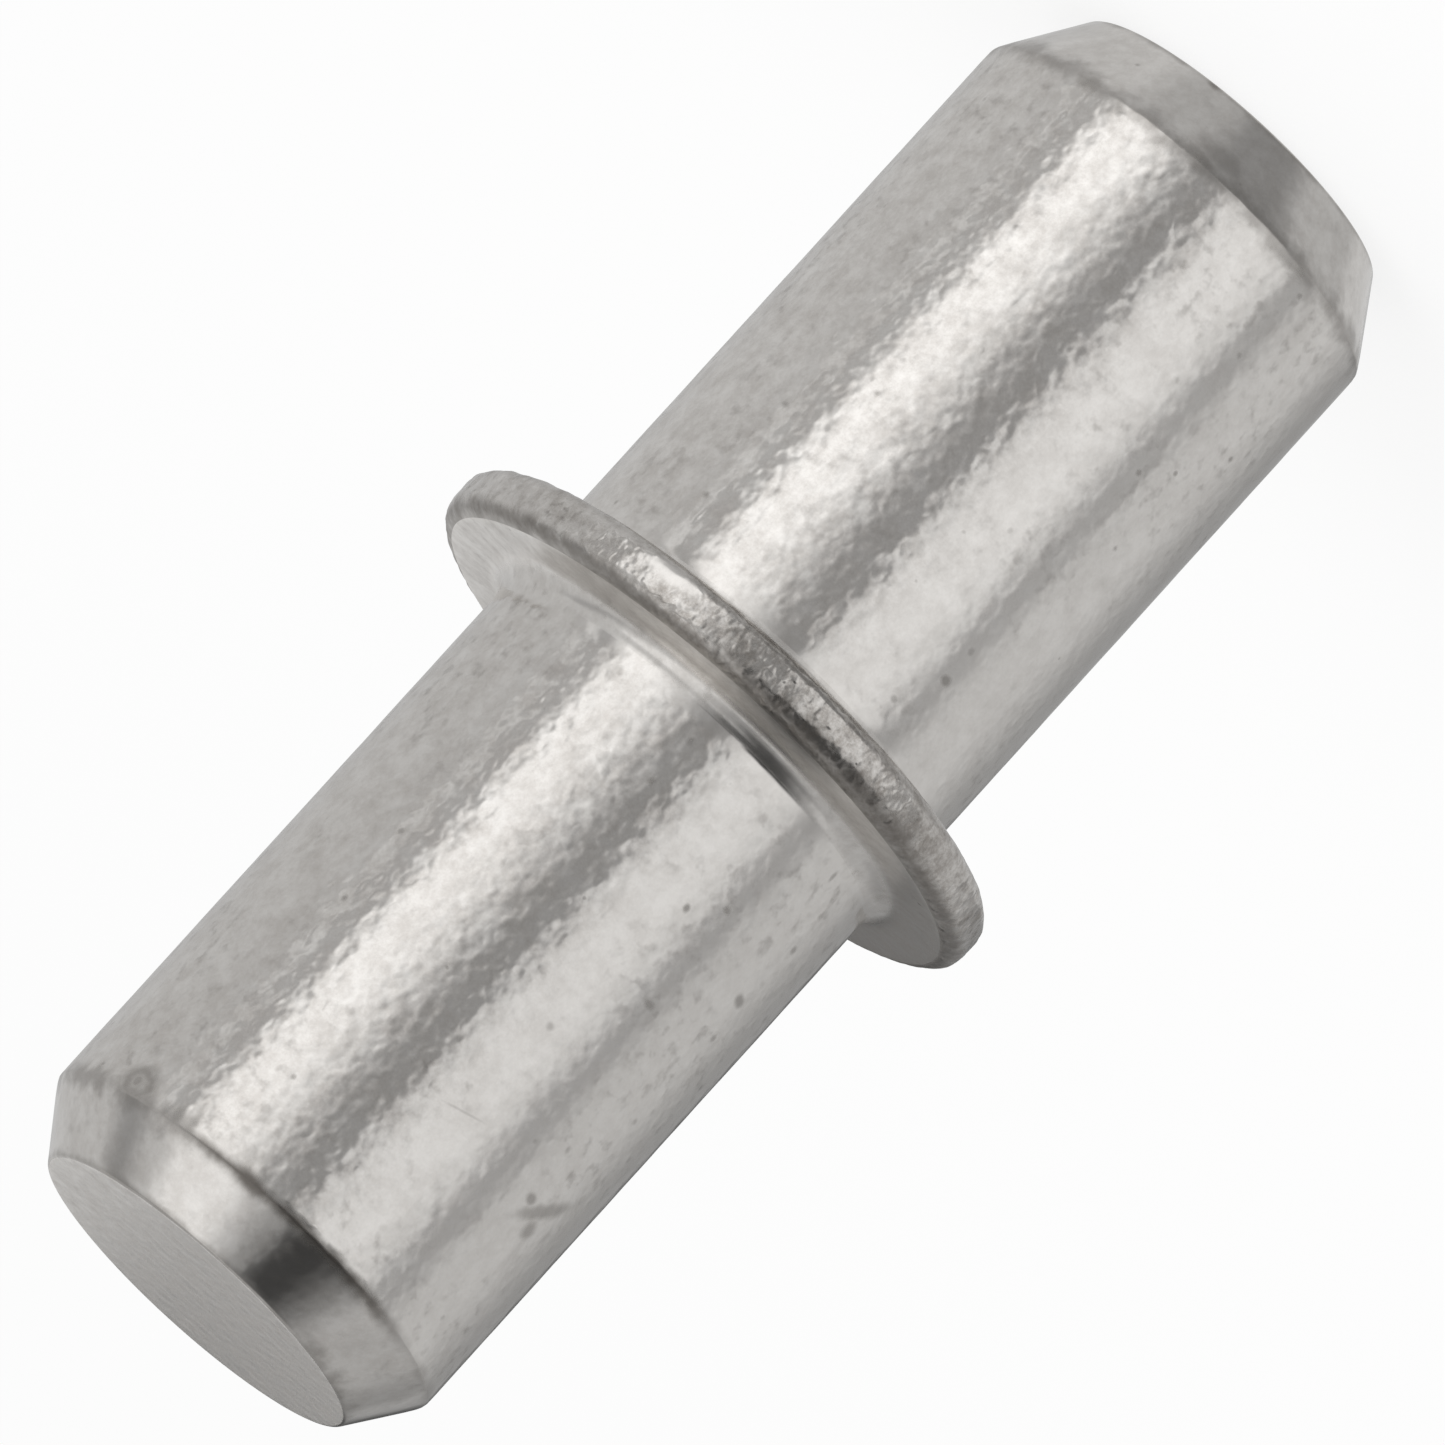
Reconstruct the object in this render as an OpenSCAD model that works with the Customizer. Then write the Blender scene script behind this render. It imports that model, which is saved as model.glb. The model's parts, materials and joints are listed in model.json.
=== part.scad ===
// Shelf support pin
//
// A steel pin, turned in one piece and plated, with a thin collar between two straight shanks.
// One shank goes into the hole in the cabinet's side until the collar meets the panel, and the shelf
// rests on the other. The pin can be used either way round.
//
// Millimetres. +Z runs along the pin, and the origin is the centre of the collar's lower face.

/* [Shanks] */
// Diameter of both shanks, which fit a drilled shelf hole
shank_d = 5; // [4:0.1:8]
// Length of the lower shank, from the collar to its end
lower_shank_l = 7.7; // [4:0.1:20]
// Length of the upper shank, from the collar to its end
upper_shank_l = 7.7; // [4:0.1:20]

/* [Collar] */
// How far the collar stands out from the shanks, all round
collar_w = 1; // [0.7:0.05:2]
// Thickness of the collar
collar_t = 0.6; // [0.55:0.05:2]
// Radius on both edges of the collar's rim
rim_r = 0.21; // [0.05:0.01:0.25]
// Radius of the fillet where each shank runs into the collar
root_r = 0.28; // [0.05:0.01:0.4]

/* [Ends] */
// Length of the lower end's chamfer, along the pin
lower_chamfer_l = 0.88; // [0.4:0.02:1.4]
// Depth of the lower end's chamfer, into the shank
lower_chamfer_w = 0.55; // [0.3:0.01:1]
// Length of the upper end's chamfer, along the pin
upper_chamfer_l = 0.72; // [0.4:0.02:1.4]
// Depth of the upper end's chamfer, into the shank
upper_chamfer_w = 0.5; // [0.3:0.01:1]
// Radius on the edge where each shank runs into its chamfer
shoulder_r = 0.1; // [0.02:0.01:0.2]
// Radius on the edge where each chamfer meets its end face
edge_r = 0.06; // [0.02:0.01:0.15]

/* [Hidden] */
$fn = 96;

PLATED_STEEL = [0.72, 0.71, 0.69];

shank_r = shank_d / 2;
collar_r = shank_r + collar_w;
lower_end_z = -lower_shank_l;
upper_end_z = collar_t + upper_shank_l;

// Half of the pin's section, counter-clockwise from the axis at the lower end to the axis at the upper
// end. Each corner is [distance from the axis, height, radius of its rounding].
SECTION = [
    [0, lower_end_z, 0],
    [shank_r - lower_chamfer_w, lower_end_z, edge_r],
    [shank_r, lower_end_z + lower_chamfer_l, shoulder_r],
    [shank_r, 0, root_r],
    [collar_r, 0, rim_r],
    [collar_r, collar_t, rim_r],
    [shank_r, collar_t, root_r],
    [shank_r, upper_end_z - upper_chamfer_l, shoulder_r],
    [shank_r - upper_chamfer_w, upper_end_z, edge_r],
    [0, upper_end_z, 0]
];

function unit(v) = v / norm(v);
function left_of(v) = [-v.y, v.x];
function place(corner) = [corner.x, corner.y];

// How far an outline turns at a corner, in degrees: positive where it is convex
function turn(way_in, way_out) = atan2(cross(way_in, way_out), way_in * way_out);

// What lies between a sharp corner and the arc that rounds it, drawn from the corner. Its tip goes past
// the corner by the arc's radius, so that it cuts or joins cleanly.
module corner_waste(way_in, way_out, r) {
    angle = turn(way_in, way_out);
    reach = r * tan(abs(angle) / 2);
    start = -reach * way_in;
    end = reach * way_out;
    tip = r * unit(way_in - way_out);
    difference() {
        polygon(angle > 0 ? [start, tip, end] : [end, tip, start]);
        translate(start + sign(angle) * r * left_of(way_in)) circle(r = r);
    }
}

// The waste of every corner that turns the given way: 1 for convex corners, -1 for concave ones
module corner_wastes(corners, side) {
    for (i = [1 : len(corners) - 2]) {
        way_in = unit(place(corners[i]) - place(corners[i - 1]));
        way_out = unit(place(corners[i + 1]) - place(corners[i]));
        if (sign(turn(way_in, way_out)) == side)
            translate(place(corners[i])) corner_waste(way_in, way_out, corners[i].z);
    }
}

// An outline whose corners are true arcs: concave corners gain their waste and convex ones lose it
module rounded_outline(corners) {
    difference() {
        union() {
            polygon([for (corner = corners) place(corner)]);
            corner_wastes(corners, -1);
        }
        corner_wastes(corners, 1);
    }
}

module shelf_pin() {
    color(PLATED_STEEL) rotate_extrude() rounded_outline(SECTION);
}

shelf_pin();
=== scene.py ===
"""Looks of the shelf support pin: its plated surface, the studio round it and the camera.

The pin is one turned piece. Its half section is drawn corner by corner, spun about the axis, roughened
where the plating is rough, and dressed zone by zone. Everything is in metres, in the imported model's frame.
"""
import json
import logging
import math
from collections.abc import Callable
from dataclasses import dataclass, field
from enum import Enum

import bmesh
import bpy
from mathutils import Matrix, Vector


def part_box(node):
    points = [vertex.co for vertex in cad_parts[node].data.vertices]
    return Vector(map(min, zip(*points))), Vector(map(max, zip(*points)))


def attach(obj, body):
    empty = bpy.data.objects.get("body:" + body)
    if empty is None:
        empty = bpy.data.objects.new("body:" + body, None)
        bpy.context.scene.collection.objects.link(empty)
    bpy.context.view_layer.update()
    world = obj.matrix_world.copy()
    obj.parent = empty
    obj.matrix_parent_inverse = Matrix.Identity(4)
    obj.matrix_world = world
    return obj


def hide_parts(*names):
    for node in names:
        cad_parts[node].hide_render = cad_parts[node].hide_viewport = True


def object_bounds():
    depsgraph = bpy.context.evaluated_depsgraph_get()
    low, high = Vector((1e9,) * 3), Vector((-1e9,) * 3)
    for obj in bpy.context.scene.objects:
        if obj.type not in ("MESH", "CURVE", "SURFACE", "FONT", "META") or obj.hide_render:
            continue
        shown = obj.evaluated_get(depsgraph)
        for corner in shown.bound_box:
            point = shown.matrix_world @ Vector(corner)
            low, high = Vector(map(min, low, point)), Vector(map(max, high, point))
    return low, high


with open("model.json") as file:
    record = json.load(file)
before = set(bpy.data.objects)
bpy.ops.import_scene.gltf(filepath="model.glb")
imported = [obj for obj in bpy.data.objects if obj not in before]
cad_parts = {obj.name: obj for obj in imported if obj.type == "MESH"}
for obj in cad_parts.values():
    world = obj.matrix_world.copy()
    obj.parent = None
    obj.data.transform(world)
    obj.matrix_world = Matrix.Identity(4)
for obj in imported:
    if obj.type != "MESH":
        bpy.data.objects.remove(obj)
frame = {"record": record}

LOG = logging.getLogger("shelf_pin")
CAD_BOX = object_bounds()
MM = 0.001
NODE = "shelf_pin"
BODY = "root"
MERGE_GAP = 1e-7
SHARE = "finish_share"
SEAT_SHARE = "seat_share"
AXIS = Vector((0, 0, 1))

Colour = tuple[float, float, float]
Band = tuple[float, float]
Socket = bpy.types.NodeSocket
Sockets = dict[str, Socket]
Feed = Socket | float | Colour | Vector

# Painted light: how much brighter the metal's colour is on the lower shank, standing in for the stronger
# light that falls there, and the heights between which it changes
LOWER_GAIN = 1.08
LOWER_FADE = (2.5 * MM, -2.5 * MM)
# Mottle at which a finish has its own roughness
MOTTLE_MIDDLE = 0.5

# Places of the Mix node's two inputs and its output, which share their names between kinds
MIX_SOCKETS = {"RGBA": (6, 7, 2), "FLOAT": (2, 3, 0)}
WHITE = (1.0, 1.0, 1.0, 1.0)


class Zone(Enum):
    """A stretch of the pin's surface with a finish of its own; the value is its material's slot."""

    SHANK = 0
    CHAMFER = 1
    SEAT = 2
    RIM = 3
    END = 4


class Wiring:
    """Places shader nodes in one tree and joins them."""

    def __init__(self, tree: bpy.types.NodeTree) -> None:
        """Keeps the tree that the nodes go into."""
        self.tree = tree

    def add(self, kind: str, **settings: object) -> bpy.types.Node:
        """Adds a node.

        Args:
            kind: Blender's name for the type of node.
            settings: Properties of the node, by name.

        Returns:
            The new node.
        """
        node = self.tree.nodes.new(kind)
        for name, value in settings.items():
            setattr(node, name, value)
        return node

    def feed(self, socket: Socket, value: Feed) -> None:
        """Gives an input a link, a number or a colour.

        Args:
            socket: The input to fill.
            value: Another node's output, or a constant.
        """
        if isinstance(value, Socket):
            self.tree.links.new(value, socket)
        elif socket.type == "RGBA":
            socket.default_value = (*value, 1.0)
        else:
            socket.default_value = value

    def math(self, operation: str, first: Feed, second: Feed = 0.0, clamp: bool = False) -> Socket:
        """Works one sum on two values.

        Args:
            operation: The Math node's operation.
            first: Its first value.
            second: Its second value.
            clamp: Whether the result is kept between 0 and 1.

        Returns:
            The result's socket.
        """
        node = self.add("ShaderNodeMath", operation=operation, use_clamp=clamp)
        self.feed(node.inputs[0], first)
        self.feed(node.inputs[1], second)
        return node.outputs[0]

    def ramp(self, value: Feed, start: Feed, end: Feed, low: Feed = 0.0, high: Feed = 1.0) -> Socket:
        """Takes a value smoothly from one range to another.

        Args:
            value: The value to convert.
            start: Where it gives low.
            end: Where it gives high.
            low: Result at start.
            high: Result at end.

        Returns:
            The converted value's socket.
        """
        node = self.add("ShaderNodeMapRange", interpolation_type="SMOOTHSTEP")
        items = {"Value": value, "From Min": start, "From Max": end, "To Min": low, "To Max": high}
        for name, item in items.items():
            self.feed(node.inputs[name], item)
        return node.outputs["Result"]

    def noise(self, vector: Feed, scale: Feed, detail: float = 2.0, rough: float = 0.5) -> Socket:
        """Adds cloudy noise.

        Args:
            vector: Where it is read.
            scale: Features per metre.
            detail: How many finer layers are added.
            rough: How strong each layer is against the coarser one.

        Returns:
            The noise value's socket.
        """
        node = self.add("ShaderNodeTexNoise")
        self.feed(node.inputs["Vector"], vector)
        self.feed(node.inputs["Scale"], scale)
        self.feed(node.inputs["Detail"], detail)
        self.feed(node.inputs["Roughness"], rough)
        return node.outputs["Fac"]

    def blend(self, factor: Feed, first: Feed, second: Feed, kind: str = "RGBA") -> Socket:
        """Mixes two colours or two numbers.

        Args:
            factor: Share of the second one.
            first: What it gives at 0.
            second: What it gives at 1.
            kind: RGBA for colours, FLOAT for numbers.

        Returns:
            The mixture's socket.
        """
        first_in, second_in, out = MIX_SOCKETS[kind]
        node = self.add("ShaderNodeMix", data_type=kind)
        self.feed(node.inputs["Factor"], factor)
        self.feed(node.inputs[first_in], first)
        self.feed(node.inputs[second_in], second)
        return node.outputs[out]

    def group(self, tree: bpy.types.NodeTree, **inputs: Feed) -> bpy.types.NodeOutputs:
        """Places a node group.

        Args:
            tree: The group.
            inputs: What goes into its inputs, by name.

        Returns:
            The group's outputs.
        """
        node = self.add("ShaderNodeGroup", node_tree=tree)
        for name, value in inputs.items():
            self.feed(node.inputs[name], value)
        return node.outputs


def aim(azimuth: float, elevation: float) -> Vector:
    """Gives a direction from the pin.

    Args:
        azimuth: Degrees round the axis from the camera's side, positive towards -X.
        elevation: Degrees above the horizontal.

    Returns:
        The unit direction.
    """
    round_axis, above = math.radians(azimuth), math.radians(elevation)
    level = math.cos(above)
    return Vector((-math.sin(round_axis) * level, -math.cos(round_axis) * level, math.sin(above)))


@dataclass(frozen=True)
class Cloud:
    """Cloudy noise that an effect is made from.

    Attributes:
        rate: Features per metre, or what a finish's own scale is multiplied by.
        detail: How many finer layers are added.
        rough: How strong each layer is against the coarser one.
        band: Noise values that become 0 and 1.
        level: Noise value that counts as even.
    """

    rate: float
    detail: float = 2.0
    rough: float = 0.5
    band: Band = (0.0, 1.0)
    level: float = 0.5


@dataclass
class PlatingGroups:
    """The effects that several finishes share, each one node group built once.

    Attributes:
        swell: Low swellings of the grain.
        pebble: Round pebbles on the swellings.
        mottle: Slow change of colour and roughness.
        speck: Fine dark specks.
        patch: Where the specks come in patches.
        pit_edge: Unevenness of the pits' edges.
        pit_core: Share of a pit's reach at which it is full.
        pit_depths: How dark the faintest and the darkest pits are.
        coarse: Unevenness of the edge lines.
        fine: Unevenness of the single marks.
        line_core: Share of a line's spread over which it is full.
        blot_edge: Where a mark starts and where it is full, against its size.
        blot_hollow: Where a hollow mark's clean middle starts and where it is full, against its size.
        grain: Group of the pebbled grain.
        pits: Group of the scattered pits.
        ragged: Group of the unevenness.
        line: Group of the edge lines.
        blot: Group of the single marks.
    """

    swell: Cloud = Cloud(rate=2.5, detail=0.7)
    pebble: Cloud = Cloud(rate=2.9, detail=0.0, band=(0.45, 0.95))
    mottle: Cloud = Cloud(rate=1.2, detail=4.0, rough=0.8, band=(0.25, 0.75))
    speck: Cloud = Cloud(rate=2.5, band=(0.5, 0.8))
    patch: Cloud = Cloud(rate=0.3, band=(0.35, 0.6))
    pit_edge: Cloud = Cloud(rate=5.0)
    pit_core: float = 0.2
    pit_depths: Band = (0.1, 0.55)
    coarse: Cloud = Cloud(rate=3500.0, detail=4.0, level=0.45)
    fine: Cloud = Cloud(rate=7000.0, detail=1.0)
    line_core: float = 0.4
    blot_edge: Band = (1.2, 0.3)
    blot_hollow: Band = (0.65, 0.25)
    grain: bpy.types.NodeTree = field(init=False)
    pits: bpy.types.NodeTree = field(init=False)
    ragged: bpy.types.NodeTree = field(init=False)
    line: bpy.types.NodeTree = field(init=False)
    blot: bpy.types.NodeTree = field(init=False)

    def __post_init__(self) -> None:
        """Builds every group."""
        self.grain = self._grain()
        self.pits = self._pits()
        self.ragged = self._ragged()
        self.line = self._line()
        self.blot = self._blot()

    @staticmethod
    def _start(
        name: str, inputs: tuple[str, ...], outputs: tuple[str, ...],
    ) -> tuple[Wiring, Sockets, Sockets]:
        """Starts a group that reads a Vector and numbers and puts out numbers.

        Args:
            name: The group's name.
            inputs: Names of its number inputs.
            outputs: Names of its outputs.

        Returns:
            Its wiring, its inputs' sockets and its outputs' sockets, by name.
        """
        tree = bpy.data.node_groups.new(name, "ShaderNodeTree")
        tree.interface.new_socket("Vector", in_out="INPUT", socket_type="NodeSocketVector")
        for item in inputs:
            tree.interface.new_socket(item, in_out="INPUT", socket_type="NodeSocketFloat")
        for item in outputs:
            tree.interface.new_socket(item, in_out="OUTPUT", socket_type="NodeSocketFloat")
        wiring = Wiring(tree)
        given = wiring.add("NodeGroupInput").outputs
        result = wiring.add("NodeGroupOutput").inputs
        return wiring, {s.name: s for s in given if s.name}, {s.name: s for s in result if s.name}

    @staticmethod
    def _scaled(wiring: Wiring, given: Sockets, cloud: Cloud) -> Socket:
        """Adds a cloud that follows a group's own Scale.

        Args:
            wiring: The group's wiring.
            given: The group's inputs, by name.
            cloud: The noise.

        Returns:
            The noise value's socket.
        """
        scale = wiring.math("MULTIPLY", given["Scale"], cloud.rate)
        return wiring.noise(given["Vector"], scale, cloud.detail, cloud.rough)

    def _grain(self) -> bpy.types.NodeTree:
        """Makes pebbled plating: a Height for bump, a slow Mottle, and fine Specks that come in patches.

        Returns:
            The group.
        """
        wiring, given, result = self._start(
            "plating_grain", ("Scale", "Pebbles"), ("Height", "Mottle", "Specks"),
        )
        pebble = wiring.ramp(self._scaled(wiring, given, self.pebble), *self.pebble.band)
        raised = wiring.math("MULTIPLY", pebble, given["Pebbles"])
        wiring.feed(result["Height"], wiring.math("ADD", self._scaled(wiring, given, self.swell), raised))
        mottle = wiring.ramp(self._scaled(wiring, given, self.mottle), *self.mottle.band)
        wiring.feed(result["Mottle"], mottle)
        speck = wiring.ramp(self._scaled(wiring, given, self.speck), *self.speck.band)
        patch = wiring.ramp(self._scaled(wiring, given, self.patch), *self.patch.band)
        wiring.feed(result["Specks"], wiring.math("MULTIPLY", speck, patch))
        return wiring.tree

    def _pits(self) -> bpy.types.NodeTree:
        """Makes scattered dark pits with soft edges: a Mask that is 1 inside them.

        Returns:
            The group.
        """
        wiring, given, result = self._start("plating_pits", ("Scale", "Share", "Size"), ("Mask",))
        cells = wiring.add("ShaderNodeTexVoronoi", feature="F1")
        wiring.feed(cells.inputs["Vector"], given["Vector"])
        wiring.feed(cells.inputs["Scale"], given["Scale"])
        pick = wiring.add("ShaderNodeSeparateColor")
        wiring.feed(pick.inputs["Color"], cells.outputs["Color"])
        ragged = self._scaled(wiring, given, self.pit_edge)
        reach = wiring.math("MULTIPLY", given["Size"], wiring.math("ADD", pick.outputs["Green"], ragged))
        core = wiring.math("MULTIPLY", reach, self.pit_core)
        inside = wiring.ramp(cells.outputs["Distance"], reach, core)
        chosen = wiring.math("LESS_THAN", pick.outputs["Red"], given["Share"])
        faint = wiring.ramp(pick.outputs["Blue"], 0.0, 1.0, *self.pit_depths)
        wiring.feed(result["Mask"], wiring.math("MULTIPLY", wiring.math("MULTIPLY", inside, chosen), faint))
        return wiring.tree

    def _ragged(self) -> bpy.types.NodeTree:
        """Makes unevenness about 0: Coarse for edge lines, Fine for single marks.

        Returns:
            The group.
        """
        wiring, given, result = self._start("plating_ragged", (), ("Coarse", "Fine"))
        for name, cloud in (("Coarse", self.coarse), ("Fine", self.fine)):
            noise = wiring.noise(given["Vector"], cloud.rate, cloud.detail, cloud.rough)
            wiring.feed(result[name], wiring.math("SUBTRACT", noise, cloud.level))
        return wiring.tree

    def _line(self) -> bpy.types.NodeTree:
        """Makes a soft uneven line round the pin, strongest on one side: a Mask that is 1 on it.

        Returns:
            The group.
        """
        wiring, given, result = self._start(
            "edge_line", ("Uneven", "Height", "Width", "Break", "East", "North", "Spread"), ("Mask",),
        )
        place = wiring.add("ShaderNodeSeparateXYZ")
        wiring.feed(place.inputs["Vector"], given["Vector"])
        x, y, z = place.outputs
        east, north = given["East"], given["North"]
        away = wiring.math("ABSOLUTE", wiring.math("SUBTRACT", z, given["Height"]))
        share = wiring.math("DIVIDE", away, given["Width"])
        broken = wiring.math("ADD", share, wiring.math("MULTIPLY", given["Uneven"], given["Break"]))
        ahead = wiring.math("ADD", wiring.math("MULTIPLY", x, east), wiring.math("MULTIPLY", y, north))
        sideways = wiring.math(
            "SUBTRACT", wiring.math("MULTIPLY", y, east), wiring.math("MULTIPLY", x, north),
        )
        turned = wiring.math("ABSOLUTE", wiring.math("ARCTAN2", sideways, ahead))
        core = wiring.math("MULTIPLY", given["Spread"], self.line_core)
        near = wiring.ramp(turned, given["Spread"], core)
        wiring.feed(result["Mask"], wiring.math("MULTIPLY", wiring.ramp(broken, 1.0, 0.0), near))
        return wiring.tree

    def _blot(self) -> bpy.types.NodeTree:
        """Makes one ragged mark, a unit in radius about the vector's origin: a Mask that is 1 inside it.

        Returns:
            The group.
        """
        wiring, given, result = self._start("plating_blot", ("Uneven", "Ragged", "Hollow"), ("Mask",))
        size = wiring.add("ShaderNodeVectorMath", operation="LENGTH")
        wiring.feed(size.inputs[0], given["Vector"])
        uneven = wiring.math("MULTIPLY", given["Uneven"], given["Ragged"])
        edge = wiring.math("ADD", size.outputs["Value"], uneven)
        middle = wiring.math("MULTIPLY", wiring.ramp(edge, *self.blot_hollow), given["Hollow"])
        full = wiring.math("SUBTRACT", wiring.ramp(edge, *self.blot_edge), middle, clamp=True)
        wiring.feed(result["Mask"], full)
        return wiring.tree


@dataclass(frozen=True)
class Mark:
    """One blemish of the plating, placed where it lies on the pin.

    Attributes:
        azimuth: Degrees round the axis from the camera's side, positive towards -X.
        height: Height on the pin.
        along: Half its size along the pin, before its turn.
        across: Half its size across the pin, before its turn.
        turn: Degrees that it is turned on the surface.
        depth: How dark it is, from 0 to 1; for a spot of painted highlight, how fully it is cleared.
        hollow: How far its middle stays clean, from 0 to 1.
        ragged: How uneven its edge is, against its size.
    """

    azimuth: float
    height: float
    along: float
    across: float
    turn: float = 0.0
    depth: float = 0.6
    hollow: float = 0.0
    ragged: float = 0.6


@dataclass(frozen=True)
class EdgeLine:
    """A dark line round an edge. Most are residue; the lines marked below as painted reflection stand in for
    dark surroundings that the edge reflects.

    Attributes:
        edge: Height of the edge.
        width: Half its width.
        broken: How unevenly it is filled.
        depth: How dark it is, from 0 to 1.
        azimuth: Where it is darkest, in degrees round the axis from the camera's side, positive towards -X.
        spread: Degrees to each side over which it fades out.
        shift: How far it lies above the edge.
    """

    edge: float
    width: float
    broken: float
    depth: float
    azimuth: float = 0.0
    spread: float = 400.0
    shift: float = 0.0

    @property
    def height(self) -> float:
        """Height on the pin."""
        return self.edge + self.shift


@dataclass(frozen=True)
class Plating:
    """A finish of the plated steel.

    Attributes:
        name: The material's name.
        tone: Colour of the clean metal.
        stain: Colour that the mottling leans to.
        stained: How strongly it leans.
        specked: How strongly the fine specks show.
        roughness: Roughness of the clean metal.
        unevenness: How far the mottling moves the roughness.
        grain_depth: Depth of the grain.
        pebbles: Share of round pebbles in the grain.
        pit_share: Share of the cells that hold a pit.
        grain_scale: Scale of the grain, per metre, which the rates of its clouds multiply.
        pit_scale: Cells per metre.
        pit_size: Size of the pits, against their cells.
        pit_tone: Colour of pits, specks, lines and marks.
        calm: Where, across the pin, its grain and mottling start to calm down, and where they are calm; the
            thinner mottling is painted light, a side kept lighter and evener as the light falls there.
        calm_share: What is left of them there.
        pit_roughening: How much rougher pits, lines and marks are than clean metal.
    """

    name: str
    tone: Colour
    stain: Colour
    stained: float
    specked: float
    roughness: float
    unevenness: float
    grain_depth: float
    pebbles: float
    pit_share: float
    grain_scale: float = 2600.0
    pit_scale: float = 3200.0
    pit_size: float = 0.16
    pit_tone: Colour = (0.175, 0.16, 0.145)
    calm: Band = (0.0, 0.0)
    calm_share: float = 1.0
    pit_roughening: float = 0.25

    @property
    def lower_tone(self) -> Colour:
        """Colour of the metal on the lower shank, a little brighter as painted light."""
        return tuple(LOWER_GAIN * part for part in self.tone)

    def material(
        self, groups: PlatingGroups, plain: "Plating", lines: tuple[EdgeLine, ...], marks: tuple[Mark, ...],
        reach: float, share_name: str = SHARE, painted_highlights: tuple[Mark, ...] = (),
    ) -> bpy.types.Material:
        """Builds the material.

        Args:
            groups: The shared node groups.
            plain: The finish that this one fades to where the mesh's share of it is 0.
            lines: Edge lines that it shows.
            marks: Blemishes that it shows.
            reach: Radius at which the blemishes lie.
            share_name: The mesh attribute that holds that share.
            painted_highlights: Spots of painted highlight, where the stain, specks and grain are cleared so
                that the metal shows bright and smooth.

        Returns:
            The new material.
        """
        material = bpy.data.materials.new(self.name)
        material.use_nodes = True
        wiring = Wiring(material.node_tree)
        shader = material.node_tree.nodes["Principled BSDF"]
        place = wiring.add("ShaderNodeTexCoord").outputs["Object"]
        share = wiring.add("ShaderNodeAttribute", attribute_name=share_name).outputs["Fac"]

        def faded(first: float, second: float) -> Feed:
            """Fades an amount by the share, from the plain finish's to this one's."""
            return first if first == second else wiring.ramp(share, 0.0, 1.0, first, second)

        grain = wiring.group(groups.grain, Vector=place, Scale=self.grain_scale, Pebbles=self.pebbles)
        pits = wiring.group(
            groups.pits, Vector=place, Scale=self.pit_scale, Share=self.pit_share, Size=self.pit_size,
        )
        ragged = wiring.group(groups.ragged, Vector=place)
        split = wiring.add("ShaderNodeSeparateXYZ")
        wiring.feed(split.inputs["Vector"], place)
        specked = faded(plain.specked, self.specked)
        stained = faded(plain.stained, self.stained)
        depth = faded(plain.grain_depth / MM, self.grain_depth / MM)
        # Painted light: the stain thins on one side of the pin, so that side is lighter and evener; the grain
        # is made shallower there too
        if self.calm_share < 1:
            lively = wiring.ramp(split.outputs["X"], *self.calm, 1.0, self.calm_share)
            stained = wiring.math("MULTIPLY", stained, lively)
            depth = wiring.math("MULTIPLY", depth, lively)
        # Painted highlights: each spot clears the stain, specks and grain, so that it shows bright
        for mark in painted_highlights:
            spot = self._mark(wiring, groups, place, ragged["Fine"], mark, reach)
            kept = wiring.math("SUBTRACT", 1.0, spot)
            specked = wiring.math("MULTIPLY", specked, kept)
            stained = wiring.math("MULTIPLY", stained, kept)
            depth = wiring.math("MULTIPLY", depth, kept)
        dark = wiring.math("MAXIMUM", pits["Mask"], wiring.math("MULTIPLY", grain["Specks"], specked))
        for line in lines:
            way = aim(line.azimuth, 0.0)
            mask = wiring.group(
                groups.line, Vector=place, Uneven=ragged["Coarse"], Height=line.height, Width=line.width,
                Break=line.broken, East=way.x, North=way.y, Spread=math.radians(line.spread),
            )
            dark = wiring.math("MAXIMUM", dark, wiring.math("MULTIPLY", mask["Mask"], line.depth))
        for mark in marks:
            spot = self._mark(wiring, groups, place, ragged["Fine"], mark, reach)
            dark = wiring.math("MAXIMUM", dark, spot)
        # Painted light: the lower shank's colour is raised by LOWER_GAIN, standing in for the stronger light
        # there
        lower = wiring.ramp(split.outputs["Z"], *LOWER_FADE)
        tone = wiring.blend(lower, self.tone, self.lower_tone)
        stain: Feed = self.stain
        if plain.tone != self.tone:
            tone = wiring.blend(share, wiring.blend(lower, plain.tone, plain.lower_tone), tone)
        if plain.stain != self.stain:
            stain = wiring.blend(share, plain.stain, self.stain)
        clean = wiring.blend(wiring.math("MULTIPLY", grain["Mottle"], stained), tone, stain)
        wiring.feed(shader.inputs["Base Color"], wiring.blend(dark, clean, self.pit_tone))
        mottled = wiring.math("SUBTRACT", grain["Mottle"], MOTTLE_MIDDLE)
        uneven = wiring.math("MULTIPLY", mottled, self.unevenness)
        even = faded(plain.roughness, self.roughness)
        rough = wiring.math("MULTIPLY", dark, self.pit_roughening)
        rough = wiring.math("ADD", wiring.math("ADD", uneven, even), rough)
        wiring.feed(shader.inputs["Roughness"], rough)
        shader.inputs["Metallic"].default_value = 1.0
        bump = wiring.add("ShaderNodeBump")
        wiring.feed(bump.inputs["Height"], wiring.math("MULTIPLY", grain["Height"], depth))
        bump.inputs["Distance"].default_value = MM
        wiring.feed(shader.inputs["Normal"], bump.outputs["Normal"])
        return material

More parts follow.
